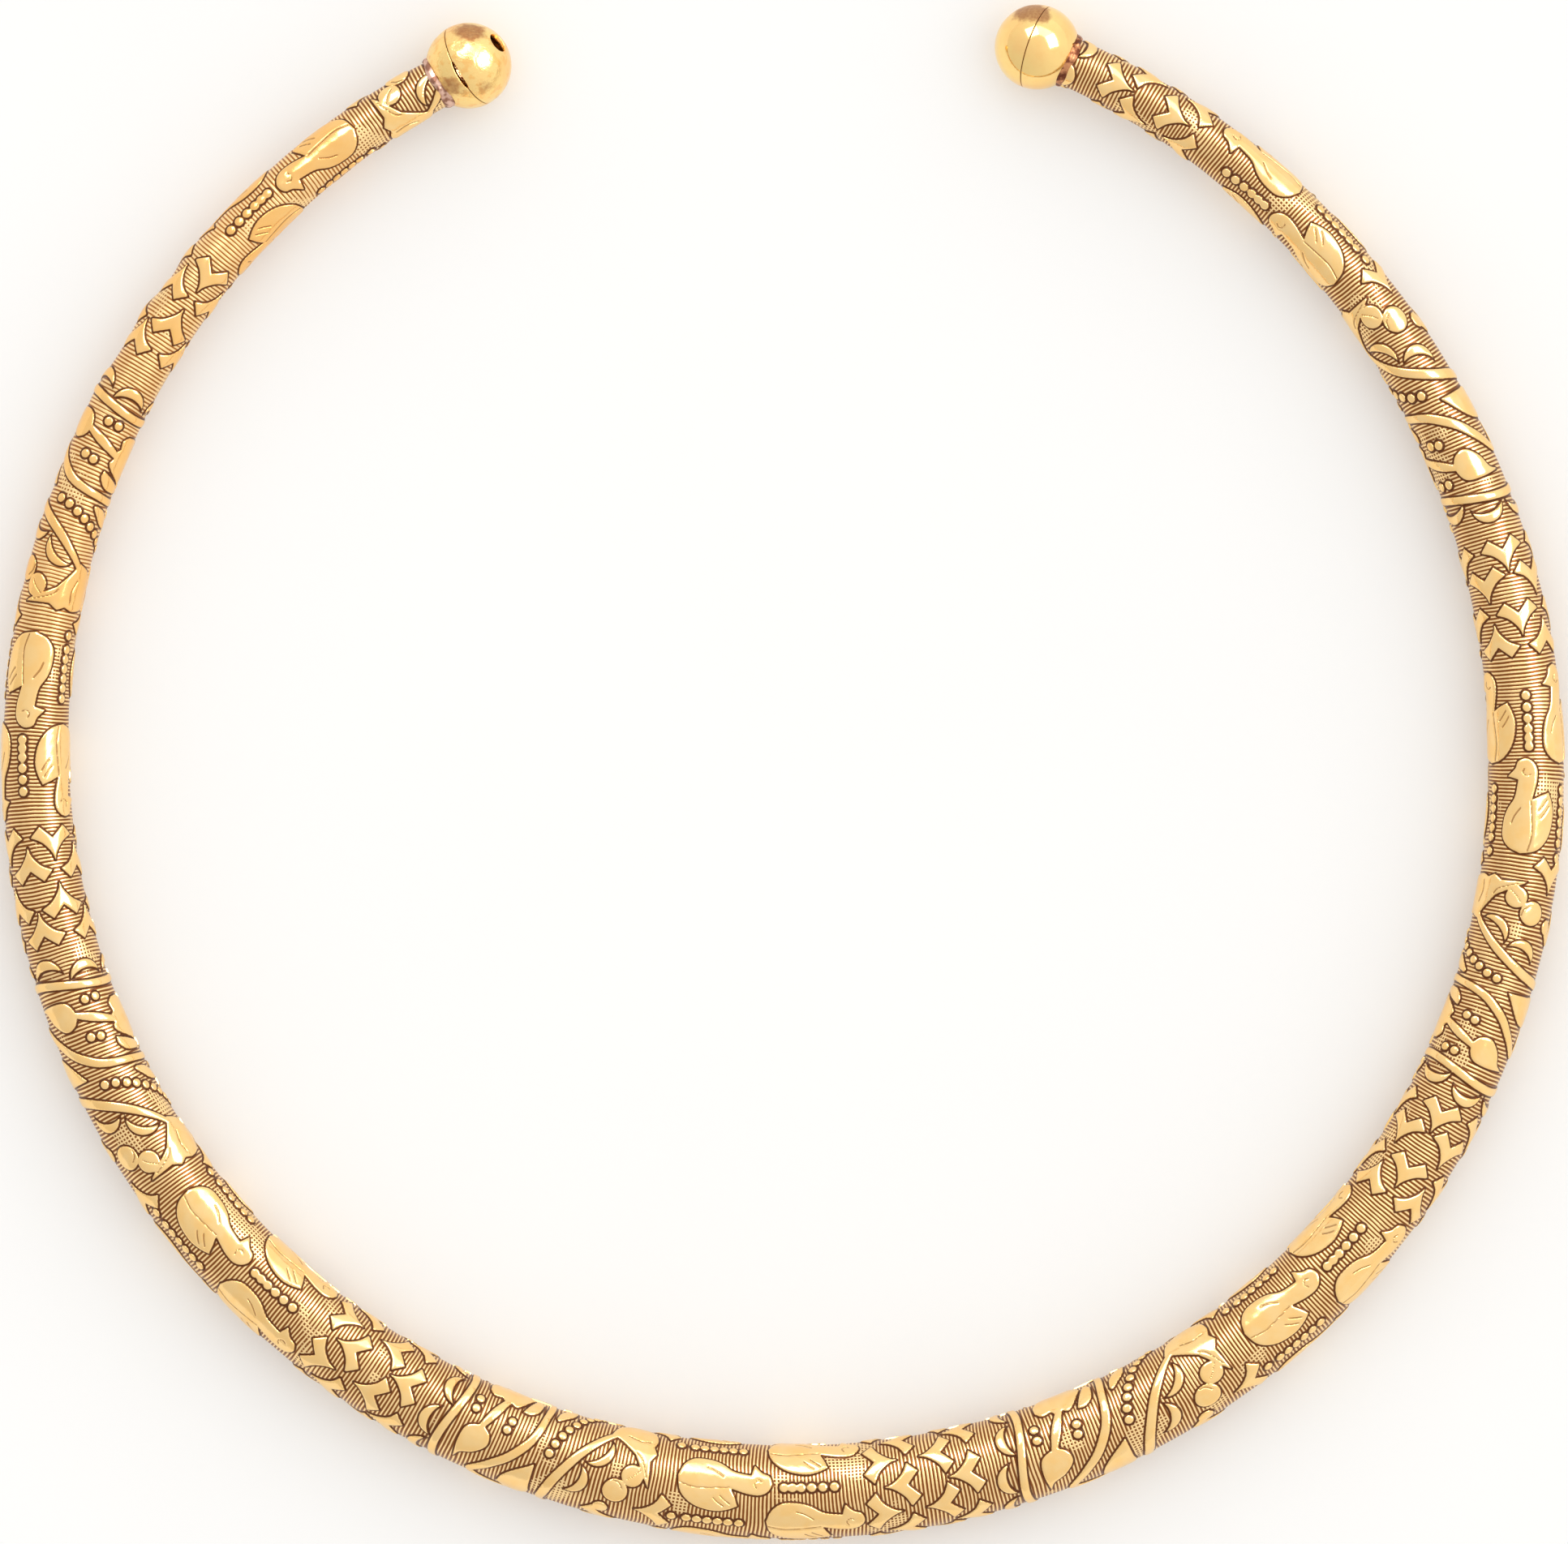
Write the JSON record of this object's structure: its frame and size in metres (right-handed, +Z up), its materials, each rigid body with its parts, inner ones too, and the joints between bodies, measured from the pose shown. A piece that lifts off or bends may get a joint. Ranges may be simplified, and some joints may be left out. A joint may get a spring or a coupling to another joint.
{
  "type": "gold torc",
  "caption": "Rigid open neck ring of hollow gold tube, thickest at the front and tapering to a ball at each end, struck all over with chevrons, vines and birds.",
  "frame": {"origin": "middle of the ring's box, on the surface it lies on", "axes": "+Z up from the surface, +Y from the thick front of the ring towards its gap, +X to the right as it lies"},
  "size_m": [0.1392, 0.1372, 0.0082],
  "materials": {
    "struck_gold": "struck sheet gold, worn bright on the relief, brown in the recesses",
    "ball_gold": "plain sheet gold, polished, scratched and a little dented",
    "solder": "rose coloured hard solder with small grains"
  },
  "bodies": {
    "root": {"tube": "struck_gold", "left_solder_ring": "solder", "left_ball_outer_cup": "ball_gold", "left_ball_inner_cup": "ball_gold", "right_solder_ring": "solder", "right_ball_outer_cup": "ball_gold", "right_ball_inner_cup": "ball_gold"}
  },
  "joints": []
}
